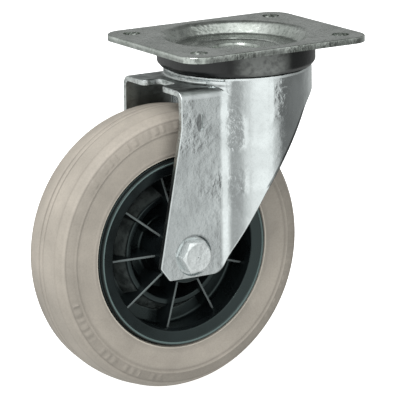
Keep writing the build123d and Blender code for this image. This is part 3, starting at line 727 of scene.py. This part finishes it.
# places of the wheel's painted light: lighter patches on the ridges' outer slopes, the highlight on
# the rim's bead and the highlights on the ribs' crests
LIT_PATCH_DEPTH = mm(12.6, 11.2)
LIT_PATCH_INSIDE = mm(34.5, 36.5)
LIT_PATCH_OUTSIDE = mm(42.5, 40.5)
BEAD_HIGHLIGHT_INSIDE = mm(57.6, 58.1)
BEAD_HIGHLIGHT_OUTSIDE = mm(59.2, 58.7)
HIGHLIGHT_BELOW_CREST = mm(-0.62, -0.12)


def wheel_painted_light(finish, colour):
    """Painted light: lighter patches on the outer slopes of the ring ridges, and a painted
    highlight on the rim's bead.
    """
    radius = finish.from_axle()
    lit_patches = finish.product(
        finish.step(finish.noise(150, 4, 0.65), 0.36, 0.62, 0.35, 1.0),
        finish.step(finish.aside(1), *LIT_PATCH_DEPTH),
        finish.step(radius, *LIT_PATCH_INSIDE),
        finish.step(radius, *LIT_PATCH_OUTSIDE),
    )
    # painted light: lighter patches on the ridges' outer slopes
    colour = finish.blend("MIX", lit_patches, colour, (0.085, 0.098, 0.095))
    # painted highlight: a teal-grey ring on the rim's bead
    bead_highlight = finish.product(finish.step(radius, *BEAD_HIGHLIGHT_INSIDE), finish.step(radius, *BEAD_HIGHLIGHT_OUTSIDE))
    return finish.blend("MIX", bead_highlight, colour, (0.10, 0.138, 0.134))


def rib_crest_highlight(finish, colour):
    """Painted highlight on the ribs' crests, a lighter grey.

    A crest falls towards the rim, so the distance from the middle plane plus RIB_SLOPE times
    the radius is the same all along it.
    """
    fall = finish.maths("MULTIPLY", finish.from_axle(), RIB_SLOPE)
    crest = RIB_HALF_HEIGHT_HUB + RIB_SLOPE * RIB_START
    zone = [crest + offset for offset in HIGHLIGHT_BELOW_CREST]
    crest_highlight = finish.step(finish.maths("ADD", finish.aside(1), fall), *zone)
    # painted highlight along each rib's crest
    return finish.blend("MIX", crest_highlight, colour, (0.12, 0.135, 0.135))


# the seal's painted highlight grows along a direction, from its start to where it is full
SEAL_HIGHLIGHT_TOWARDS = (-0.21, -0.977, 0)
SEAL_HIGHLIGHT = mm(45.5, 49.7)


def seal_plastic():
    """Black plastic of the dust seal, with a painted highlight in a mottled patch on its front."""
    finish = Finish("seal plastic")
    seal_highlight = finish.product(
        finish.step(finish.along(*SEAL_HIGHLIGHT_TOWARDS), *SEAL_HIGHLIGHT),
        finish.step(finish.noise(240, 3, 0.6), 0.3, 0.62, 0.45, 1.0),
    )
    # painted highlight: a light grey mottled patch on the seal's front
    colour = finish.blend("MIX", seal_highlight, (0.006, 0.007, 0.007), (0.17, 0.178, 0.17))
    grain = finish.bump(finish.noise(300, 3), 0.25 * MM, 0.8)
    return finish.use(Base__Color=colour, Roughness=0.36, Specular__IOR__Level=0.45, Normal=grain)


def plain_metal(name, shade, rough):
    """Turned or ground steel: fine grain over an even grey."""
    finish = Finish(name)
    grain = finish.noise(700, 3, 0.6)
    colour = finish.ramp(grain, [(0.3, tuple(0.85 * c for c in shade)), (0.7, shade)])
    roughness = finish.ramp(grain, [(0.3, rough), (0.7, rough + 0.12)])
    return finish.use(Base__Color=colour, Metallic=1.0, Roughness=roughness)


def nylon():
    """Natural nylon: off-white, slightly cloudy and soft."""
    finish = Finish("nylon")
    cloud = finish.noise(200, 2)
    colour = finish.ramp(cloud, [(0.3, (0.62, 0.6, 0.52)), (0.7, (0.72, 0.7, 0.62))])
    return finish.use(Base__Color=colour, Roughness=0.45)


PLATE_ZINC = zinc(
    "plate zinc",
    (0.38, 0.41, 0.38),
    (0.52, 0.55, 0.52),
    flecks=0.38,
    rough=0.22,
    ripple=0.3 * MM,
    painted_shade=plate_edge_painted_shade,
)
FORK_ZINC = zinc(
    "fork zinc",
    (0.605, 0.64, 0.642),
    (0.70, 0.74, 0.742),
    flecks=0.03,
    rough=0.14,
    ripple=0.3 * MM,
    cell=230,
    painted_shade=fork_painted_shade,
    calm=fork_calm,
    dull=fork_bends,
)
# inner faces: a rougher coat, and darker greys that paint the shade inside the fork
INNER_ZINC = zinc(
    "inner zinc",
    (0.38, 0.40, 0.38),
    (0.50, 0.53, 0.51),
    flecks=0.2,
    rough=0.35,
    ripple=0.3 * MM,
    painted_shade=inner_painted_shade,
)
EDGE_ZINC = zinc(
    "edge zinc",
    (0.36, 0.38, 0.37),
    (0.56, 0.59, 0.58),
    flecks=0.5,
    rough=0.3,
    ripple=0.3 * MM,
    cell=420,
)
BOLT_ZINC = zinc(
    "fastener zinc",
    (0.69, 0.72, 0.72),
    (0.78, 0.81, 0.81),
    flecks=0.15,
    rough=0.62,
    ripple=0.3 * MM,
)
CUP_ZINC = zinc("cup zinc", (0.4, 0.42, 0.42), (0.5, 0.52, 0.52), rough=0.3)
TYRE_RUBBER = rubber()
WHEEL_PLASTIC = black_plastic("wheel plastic", 0.26, 0.5, wheel_painted_light)
RIB_PLASTIC = black_plastic("rib plastic", 0.3, 0.4, rib_crest_highlight)
CAP_PLASTIC = black_plastic("cap plastic", 0.45)
SEAL_PLASTIC = seal_plastic()
GROUND_STEEL = plain_metal("ground steel", (0.5, 0.5, 0.5), 0.3)
BALL_STEEL = plain_metal("ball steel", (0.62, 0.62, 0.63), 0.12)
NYLON = nylon()


# ---------------------------------------------------------------- wheel
def ring_bead(radius, centre, half_width, height):
    """Bead round the axle: height * (1 - (offset / half_width)^2)^2 inside its width.

    The offset is counted from the bead's centre, and a height below zero makes a groove.
    """
    offset = np.clip((radius - centre) / half_width, -1, 1)
    return height * (1 - offset**2) ** 2


def on_side(radius, along):
    """Whether places on the tyre belong to its sidewalls."""
    return (np.abs(along) > SIDE_START) & (radius > LIP_RADIUS)


def on_tread(radius):
    """Whether places on the tyre belong to its tread."""
    return radius > TYRE_RADIUS - TREAD_DEPTH


def tyre_relief(angle, radius, along):
    """Moulded detail on the tyre's skin.

    SIDE_RINGS and TREAD_RINGS are its beads and grooves, the latter on both sides of the
    middle plane. Between two of the beads short raised bars stand at equal steps in three
    groups; a bar's width follows the sine of its number, and some bars are left out.
    """
    side, tread = on_side(radius, along), on_tread(radius)
    height = np.zeros_like(angle + radius)
    for place, half_width, rise in SIDE_RINGS:
        ring = ring_bead(radius, place * MM, half_width * MM, rise * MM)
        height = height + np.where(side, ring, 0)
    across = np.clip(1 - np.abs(radius - BAR_RADIUS) / BAR_REACH, 0, 1)
    bar_angle = TURN / BAR_COUNT
    number = np.floor(angle / bar_angle)
    phase = (angle / bar_angle) % 1.0
    width = BAR_HALF_WIDTH + BAR_UNEVENNESS * np.sin(number * BAR_WIDTHS)
    bar = np.clip((width - np.abs(phase - 0.5)) * BAR_SLOPE, 0, 1)
    kept = np.sin(number * BAR_GAPS) > BAR_GAP_BELOW
    wave = np.cos(BAR_GROUPS * angle + BAR_GROUPS_START)
    group = np.clip(3 * wave + BAR_GROUPS_LEVEL, 0, 1)
    bars = BAR_HEIGHT * np.minimum(1, 4 * across) * bar * kept * group
    height = height + np.where(side, bars, 0)
    for sign in (-1, 1):
        for place, half_width, rise in TREAD_RINGS:
            ring = ring_bead(along, sign * place * MM, half_width * MM, rise * MM)
            height = height + np.where(tread, ring, 0)
    return height


def near_relief(points):
    """Whether points (radius, y) of the tyre's profile lie where its grid has to be fine."""
    radius, across = points[:, 0], np.abs(points[:, 1])
    side, tread = across > SIDE_START, on_tread(radius)
    near = side & (radius > BAND_INNER) & (radius < BAND_OUTER)
    rings = [(side, radius, SIDE_RINGS[-1])] + [(tread, across, ring) for ring in TREAD_RINGS]
    for zone, along, (place, half_width, _) in rings:
        near |= zone & (np.abs(along - place * MM) < (half_width + RING_MARGIN) * MM)
    return near


def make_tyre():
    """Tyre: the turned profile of tread, shoulders, sidewalls and seat, with moulded relief."""
    half = [
        (SEAT_RADIUS, 0),
        (SEAT_RADIUS, SEAT_HALF_WIDTH),
        (RIM_RADIUS, SEAT_HALF_WIDTH),
        (RIM_RADIUS, RIM_HALF_WIDTH - LIP_DEPTH),
        (LIP_RADIUS, LIP_HALF_WIDTH),
        (LIP_RADIUS + SHOULDER_RADIUS, TYRE_HALF_WIDTH - SHOULDER_BACK),
        (TYRE_RADIUS - TREAD_CROWN, TYRE_HALF_WIDTH - SHOULDER_BACK),
        (TYRE_RADIUS - SKIN_BACK, TREAD_FLAT),
        (TYRE_RADIUS - SKIN_BACK, 0),
    ]
    radii = [0, 0.5, 0, 0, 0.6, 25, 10.5, 40, 0]
    profile = rounded(half, [r * MM for r in radii], 14, closed=False)
    profile = spaced(mirrored(profile), TYRE_SPACING, near_relief)
    return turned_on_axle("tyre_casing", profile, TYRE_STEPS, tyre_relief, sharp=50)


def make_wheel_body():
    """Wheel centre's turned part: hub, web and the rim, whose band ends in a bead outside."""
    crest = RIM_HALF_WIDTH + RIM_BULGE
    half = [
        (HUB_BORE, 0),
        (HUB_BORE, HUB_HALF_LENGTH),
        (HUB_RADIUS - HUB_DRAFT, HUB_HALF_LENGTH),
        (HUB_RADIUS, WEB_HALF),
        (RIM_INNER, WEB_HALF),
        (RIM_INNER, RIM_HALF_WIDTH - RIM_INNER_DEPTH),
        (RIM_BAND_INNER, RIM_HALF_WIDTH + RIM_BAND_FOOT),
        (RIM_RADIUS - RIM_BEAD_FOOT, crest - RIM_BEAD_HEIGHT),
        (RIM_RADIUS - RIM_BEAD_CREST, crest),
        (RIM_RADIUS - RIM_BEAD_EDGE, crest - RIM_BEAD_DROP),
        (RIM_RADIUS - RIM_CHAMFER[0], RIM_HALF_WIDTH),
        (RIM_RADIUS, RIM_HALF_WIDTH - RIM_CHAMFER[1]),
        (RIM_RADIUS, SEAT_HALF_WIDTH),
        (SEAT_RADIUS, SEAT_HALF_WIDTH),
        (SEAT_RADIUS, 0),
    ]
    radii = [0, 0, 1, 2, 2, 0.5, 1.2, 0.8, 0.5, 0.5, 0.1, 0.1, 0.4, 0.5, 0]
    profile = mirrored(rounded(half, [r * MM for r in radii], 8, closed=False))
    return turned_on_axle("wheel_body", profile, steps=288)


def make_ridge(side):
    """Ring ridge on one face of the web: a turned trapezium with a rounded crest."""
    foot = side * (WEB_HALF - RIDGE_SUNK)
    crest = side * RIDGE_HALF_HEIGHT
    corners = [
        (RIDGE_RADIUS - RIDGE_FOOT_HALF, foot),
        (RIDGE_RADIUS - RIDGE_CREST_HALF, crest),
        (RIDGE_RADIUS + RIDGE_CREST_HALF, crest),
        (RIDGE_RADIUS + RIDGE_FOOT_HALF, foot),
    ]
    profile = rounded(corners, [0, RIDGE_ROUNDING, RIDGE_ROUNDING, 0])
    return turned_on_axle("ridge_" + ("near" if side < 0 else "far"), profile, steps=240)


def make_rib(number):
    """One rib from hub to rim, through the web.

    Its section square to the radius is RIB_THICKNESS wide at the web and narrows in straight
    lines to a rounded crest on each side. The half height falls in a straight line from the
    hub's value to the rim's, and the section is carried along the radius.
    """
    angle = RIB_FIRST_ANGLE + number * TURN / RIB_COUNT
    outward = np.array([math.cos(angle), 0, math.sin(angle)])
    sideways = np.array([-math.sin(angle), 0, math.cos(angle)])
    reach = np.linspace(RIB_START, RIB_END, 24)
    half_height = RIB_HALF_HEIGHT_HUB - RIB_SLOPE * (reach - RIB_START)
    half_width, crest = RIB_THICKNESS / 2, RIB_CREST / 2
    section = [(-crest, -1), (crest, -1), (half_width, 0)]
    section += [(-x, -height) for x, height in section]
    radii = [0.45 * RIB_CREST * abs(end) for _, end in section]
    rings = np.array([rounded(np.multiply(section, [1, h]), radii, 5) for h in half_height])
    across, along = rings[..., :1], rings[..., 1:]
    rows = AXLE + reach[:, None, None] * outward + across * sideways + along * np.array([0, 1, 0])
    middles = np.broadcast_to(rows.mean(1, keepdims=True), rows.shape)
    grid = np.concatenate([middles[:1], rows, middles[-1:]])
    return skin("rib_%d" % (number + 1), grid, wrap_rows=False)


def make_wheel():
    """The tyre, the wheel centre's turned part, its two ring ridges and its ribs."""
    dress(make_tyre(), TYRE_RUBBER, "wheel", "grey_rubber", "tyre")
    dress(make_wheel_body(), WHEEL_PLASTIC, "wheel", "black_plastic", "wheel_centre")
    for side in (-1, 1):
        dress(make_ridge(side), WHEEL_PLASTIC, "wheel", "black_plastic")
    for number in range(RIB_COUNT):
        dress(make_rib(number), RIB_PLASTIC, "wheel", "black_plastic")


# ---------------------------------------------------------------- fasteners
def hexagon(name, near, far, bore=0.0, both=True, dish=0.0):
    """Hexagon head or nut between two places along Y.

    At angle a the hexagon's radius is half of ACROSS_FLATS over the cosine of a, folded into
    the nearest flat. Near each chamfered end it is cut by a cone, so the radius is the smaller
    of the hexagon's and the cone's: that leaves the curved chamfer lines of a real head. Only
    the near end is chamfered unless both is set, and dish sinks that end's face. Rings of
    falling radius close both end faces down to the bore.
    """
    angle = angles_round(HEX_STEPS, 0.5)
    flat_radius = ACROSS_FLATS / 2 / np.cos(angle % (TURN / 6) - TURN / 12)

    # the body's rings, close together near both ends, where the chamfers are
    ends = np.linspace(0, 0.3, 16)
    depth = np.concatenate([ends, np.linspace(0.34, 0.66, 6), ends + 0.7])
    face_radius = ACROSS_FLATS / 2 * (1 - HEX_CHAMFER)
    spread = abs(far - near) * math.tan(HEX_CHAMFER_ANGLE)
    cone = face_radius + depth * spread
    if both:
        cone = np.minimum(cone, face_radius + (1 - depth) * spread)
    radius = np.minimum(flat_radius, cone)

    # the near face's rings outwards from the bore, and the far face's back to it
    bore = max(bore, SMALLEST_BORE)
    face = np.array([bore, 0.6 * face_radius, 0.8 * face_radius, 0.96 * face_radius])
    face = np.broadcast_to(face, (HEX_STEPS, 4))
    back = radius[:, -1:] * np.array([0.97, 0.8, 0.6, 0]) + np.array([0, 0, 0, bore])
    sunk = near + np.array([dish, dish, dish, 0]) * np.sign(far - near)
    along = np.concatenate([sunk, near + (far - near) * depth, [far] * 4])
    return skin(name, round_axle(np.hstack([face, radius, back]), along, angle), sharp=28)


def threaded_shank(name, start, end):
    """Bolt shank with a helical thread at its end.

    The radius at angle a and place y is the shank's, less the thread's depth times a ridged
    wave of y / pitch + a / turn; the thread starts THREAD_BEFORE_NUT short of the nut and runs
    out into a chamfer at the tip.
    """
    angle = angles_round(SHANK_STEPS)
    thread_start = NUT_LOW[1] - THREAD_BEFORE_NUT
    samples = np.arange(thread_start - THREAD_LEAD, end, THREAD_PITCH / 10)
    along = np.concatenate([[start], samples, [end]])
    wave = np.abs(((along / THREAD_PITCH + angle / TURN) % 1.0) * 2 - 1)
    threaded = np.clip((along - thread_start) / THREAD_PITCH, 0, 1)
    radius = SHANK_RADIUS - THREAD_DEPTH * (1 - wave) * threaded - SKIN_BACK
    tip = np.clip((end - along) / TIP_CHAMFER, 0, 1)
    radius = np.minimum(radius, SHANK_RADIUS - TIP_CHAMFER * (1 - tip))
    pole = np.full((SHANK_STEPS, 1), POLE_RADIUS)
    radius = np.hstack([pole, radius, pole])
    along = np.concatenate([[start], along, [end]])
    return skin(name, round_axle(radius, along, angle), sharp=60)


def make_fasteners():
    """The bolt as head and shank, and the lock nut as hexagon and collar."""
    head = hexagon("bolt_head", BOLT_LOW[1], HEAD_SEAT_Y, both=False, dish=HEAD_DISH)
    dress(head, BOLT_ZINC, "fork", "zinc_fastener", "axle_bolt")
    shank = threaded_shank("bolt_shank", HEAD_SEAT_Y, BOLT_HIGH[1])
    dress(shank, BOLT_ZINC, "fork", "zinc_fastener")
    hex_end = NUT_HIGH[1] - NUT_COLLAR_HEIGHT
    nut = hexagon("nut_hexagon", NUT_LOW[1], hex_end, SHANK_RADIUS)
    dress(nut, BOLT_ZINC, "fork", "zinc_fastener", "axle_nut")
    corners = [
        (INSERT_RADIUS, hex_end - NUT_COLLAR_OVERLAP),
        (NUT_COLLAR_RADIUS, hex_end - NUT_COLLAR_OVERLAP),
        (NUT_COLLAR_RADIUS, NUT_HIGH[1]),
        (INSERT_RADIUS, NUT_HIGH[1]),
    ]
    profile = rounded(corners, [0, 0, 0.7 * MM, 0.2 * MM], 5)
    collar = turned_on_axle("nut_collar", profile, steps=96)
    dress(collar, BOLT_ZINC, "fork", "zinc_fastener")


# ---------------------------------------------------------------- head, plate and fork
def dull_and_shade_inside(fork):
    """Gives the fork's inner faces a rougher coat in darker greys that paint their shade, and its
    front cut edges a duller coat.

    A face is inside where it lies below the shelf, its centre is nearer the middle plane than
    the middle of a leg's sheet and its normal leans to that plane. It is a front cut edge
    where it lies in front of FRONT_EDGES and its normal points along -X.
    """
    fork.data.materials.append(INNER_ZINC)
    fork.data.materials.append(EDGE_ZINC)
    count = len(fork.data.polygons)
    centre, normal = np.empty(count * 3), np.empty(count * 3)
    fork.data.polygons.foreach_get("center", centre)
    fork.data.polygons.foreach_get("normal", normal)
    centre, normal = centre.reshape(-1, 3), normal.reshape(-1, 3)
    between = (np.abs(centre[:, 1]) < LEG_MIDDLE) & (centre[:, 2] < SHELF_MIDDLE)
    inside = between & (normal[:, 1] * np.sign(centre[:, 1]) < FACES_IN)
    edge = (centre[:, 0] < FRONT_EDGES) & (normal[:, 0] < FACES_FRONT)
    choice = np.where(edge, 2, np.where(inside, 1, 0))
    fork.data.polygons.foreach_set("material_index", choice.astype(np.int32))


def make_head():
    """The plate and the fork as merged copies of their nodes, and the turned dust seal."""
    plate = merged_copy("mounting_plate", "top_plate", sharp=25)
    dress(plate, PLATE_ZINC, "plate", "zinc_plate", "top_plate")
    fork = merged_copy("fork_pressing", "fork", sharp=25)
    dress(fork, FORK_ZINC, "fork", "zinc_fork", "fork")
    dull_and_shade_inside(fork)
    low, high = SEAL_LOW[2], SEAL_HIGH[2]
    inner = SEAL_RADIUS - SEAL_WALL
    corners = [
        (inner, high),
        (SEAL_RADIUS, high),
        (SEAL_RADIUS, low + SEAL_TAPER_HEIGHT),
        (SEAL_RADIUS - SEAL_TAPER, low),
        (inner - SEAL_TAPER / 2, low),
        (inner, low + SEAL_TAPER_HEIGHT),
    ]
    profile = rounded(corners, [r * MM for r in (0, 0.3, 2.5, 0.6, 0.3, 1)])
    dress(turned_on_swivel("dust_seal", profile), SEAL_PLASTIC, "plate", "black_seal", "seal_ring")


# finish of each node that stays as it is
CARRIED = {
    "kingpin": PLATE_ZINC,
    "lower_race_cup": CUP_ZINC,
    "upper_balls": BALL_STEEL,
    "lower_balls": BALL_STEEL,
    "nut_insert": NYLON,
    "nut_washer": BOLT_ZINC,
    "axle_tube": GROUND_STEEL,
    "bearing_sleeve": GROUND_STEEL,
    "thrust_washer_near": GROUND_STEEL,
    "thrust_washer_far": GROUND_STEEL,
    "hub_cap_near": CAP_PLASTIC,
    "hub_cap_far": CAP_PLASTIC,
    "roller_cage": NYLON,
    "bearing_rollers": BALL_STEEL,
}


def finish_carried_nodes():
    """Gives each node in CARRIED its finish."""
    for node, finish in CARRIED.items():
        materials = frame["nodes"][node].data.materials
        materials.clear()
        materials.append(finish)


# ---------------------------------------------------------------- studio
FLOOR_HALF = 6.0

# key light: where it stands round the place that it looks at, below the plate
KEY_AZIMUTH, KEY_ELEVATION = -60, 45
KEY_DISTANCE = 1.0
KEY_SIZE = 0.35
KEY_POWER = 4.5
KEY_AIM = np.array([0, 0, -0.09])


def towards(azimuth, elevation):
    """Axes of a viewer round the castor: right, up and out; azimuth 0 stands in front, on -Y."""
    a, e = math.radians(azimuth), math.radians(elevation)
    out = np.array([math.sin(a) * math.cos(e), -math.cos(a) * math.cos(e), math.sin(e)])
    right = np.array([math.cos(a), math.sin(a), 0])
    return right, np.cross(out, right), out


def stand(name, data, right, up, out, place):
    """New object for a camera or light that looks along -out from a place."""
    thing = bpy.data.objects.new(name, data)
    columns = np.stack([right, up, out, place], -1)
    thing.matrix_world = Matrix([*columns.tolist(), (0, 0, 0, 1)])
    bpy.context.scene.collection.objects.link(thing)
    return thing


def make_floor():
    """Plain pale floor, lit from within so that it stays white; it throws no light of its own."""
    finish = Finish("floor")
    material = finish.use(
        Base__Color=(0.85, 0.85, 0.85, 1),
        Roughness=0.9,
        Specular__IOR__Level=0.0,
        Emission__Color=(1, 1, 1, 1),
        Emission__Strength=0.98,
    )
    corners = [(-1, -1), (1, -1), (1, 1), (-1, 1)]
    points = [(x * FLOOR_HALF, y * FLOOR_HALF, FLOOR_Z) for x, y in corners]
    mesh = bpy.data.meshes.new("floor")
    mesh.from_pydata(points, [], [(0, 1, 2, 3)])
    floor = bpy.data.objects.new("floor", mesh)
    bpy.context.scene.collection.objects.link(floor)
    mesh.materials.append(material)
    floor.visible_diffuse = False
    floor.visible_glossy = False


def make_key_light():
    """Soft square light high at the left."""
    right, up, out = towards(KEY_AZIMUTH, KEY_ELEVATION)
    light = bpy.data.lights.new("key light", "AREA")
    light.shape = "RECTANGLE"
    light.size = light.size_y = KEY_SIZE
    light.energy = KEY_POWER
    stand("key light", light, right, up, out, KEY_AIM + KEY_DISTANCE * out)


# the studio round the castor, as grey against azimuth in degrees (0 in front, 90 at +X):
# white panels in front and at the left with a darker gap between them, dark at the right
PANELS_BELOW = [
    (-180, 0.50),
    (-150, 1.10),
    (-110, 1.20),
    (-48, 1.25),
    (-44, 0.62),
    (-41, 0.44),
    (-35, 0.44),
    (-28, 0.58),
    (-22, 0.76),
    (-17, 0.88),
    (-10, 1.22),
    (15, 1.22),
    (20, 1.04),
    (25, 0.84),
    (29, 0.74),
    (33, 0.66),
    (36, 0.34),
    (41, 0.20),
    (48, 0.19),
    (58, 0.21),
    (83, 0.24),
    (99, 0.36),
    (117, 0.50),
    (150, 0.45),
    (180, 0.50),
]
PANELS_LEVEL = [
    (-180, 0.50),
    (-110, 1.00),
    (-70, 1.20),
    (-20, 1.20),
    (20, 1.10),
    (60, 0.45),
    (110, 0.40),
    (150, 0.40),
    (180, 0.50),
]
PANELS_ABOVE = [
    (-180, 0.50),
    (-110, 1.00),
    (-70, 1.45),
    (-20, 1.45),
    (20, 1.30),
    (42, 0.95),
    (60, 0.45),
    (90, 0.20),
    (150, 0.20),
    (180, 0.30),
]
TABLE = [(-180, 0.85), (180, 0.85)]

# from the table upwards each ring takes over between two heights of the view's direction
RINGS = [
    (PANELS_BELOW, -0.75, -0.55),
    (PANELS_LEVEL, -0.06, 0.10),
    (PANELS_ABOVE, 0.34, 0.60),
]


def make_world():
    """Soft studio surroundings: a pale table below, then three rings of panels, grey by azimuth."""
    world = bpy.data.worlds.new("studio")
    studio = Nodes(world)
    direction = studio.node("ShaderNodeTexCoord").outputs["Generated"]
    x, y, z = studio.node("ShaderNodeSeparateXYZ", {0: direction}).outputs
    azimuth = studio.maths("ARCTAN2", x, studio.maths("MULTIPLY", y, -1))
    share = studio.maths("MULTIPLY_ADD", azimuth, 1 / TURN, 0.5)

    def ring(stops):
        """Grey round the ring, hardly tinted, looked up by the share of a turn."""
        tint = [((a + 180) / 360, (0.98 * grey, grey, 0.99 * grey)) for a, grey in stops]
        return studio.ramp(share, tint)

    shade = ring(TABLE)
    for stops, bottom, top in RINGS:
        shade = studio.blend("MIX", studio.step(z, bottom, top), shade, ring(stops))
    background = studio.tree.nodes["Background"]
    studio.feed(background.inputs["Color"], shade)
    background.inputs["Strength"].default_value = 1.0
    bpy.context.scene.world = world


def make_studio():
    """Floor, surroundings and key light, with colours shown as they are."""
    make_floor()
    make_world()
    make_key_light()
    bpy.context.scene.view_settings.view_transform = "Standard"


# camera: where it stands round the plate's centre, and where that centre falls in the picture
CAMERA_AZIMUTH = -31.96
CAMERA_ELEVATION = 13.39
CAMERA_ROLL = -0.74
CAMERA_DISTANCE = 2.2
FOCAL_PIXELS = 3488.9
PICTURE_SIZE = 400
PLATE_PIXEL = (235.81, 33.85)
SENSOR = 36.0


def make_camera():
    """Camera turned by its roll and moved aside, so that the plate's centre falls in place."""
    right, up, out = towards(CAMERA_AZIMUTH, CAMERA_ELEVATION)
    roll = math.radians(CAMERA_ROLL)
    right, up = (
        math.cos(roll) * right + math.sin(roll) * up,
        -math.sin(roll) * right + math.cos(roll) * up,
    )
    aside = (PLATE_PIXEL[0] - PICTURE_SIZE / 2) / FOCAL_PIXELS
    above = (PICTURE_SIZE / 2 - PLATE_PIXEL[1]) / FOCAL_PIXELS
    place = CAMERA_DISTANCE * (out - right * aside - up * above)
    data = bpy.data.cameras.new("camera")
    data.sensor_width = SENSOR
    data.lens = FOCAL_PIXELS / PICTURE_SIZE * SENSOR
    data.clip_end = 50
    bpy.context.scene.camera = stand("camera", data, right, up, out, place)


make_camera()
make_wheel()
make_fasteners()
make_head()
finish_carried_nodes()
make_studio()
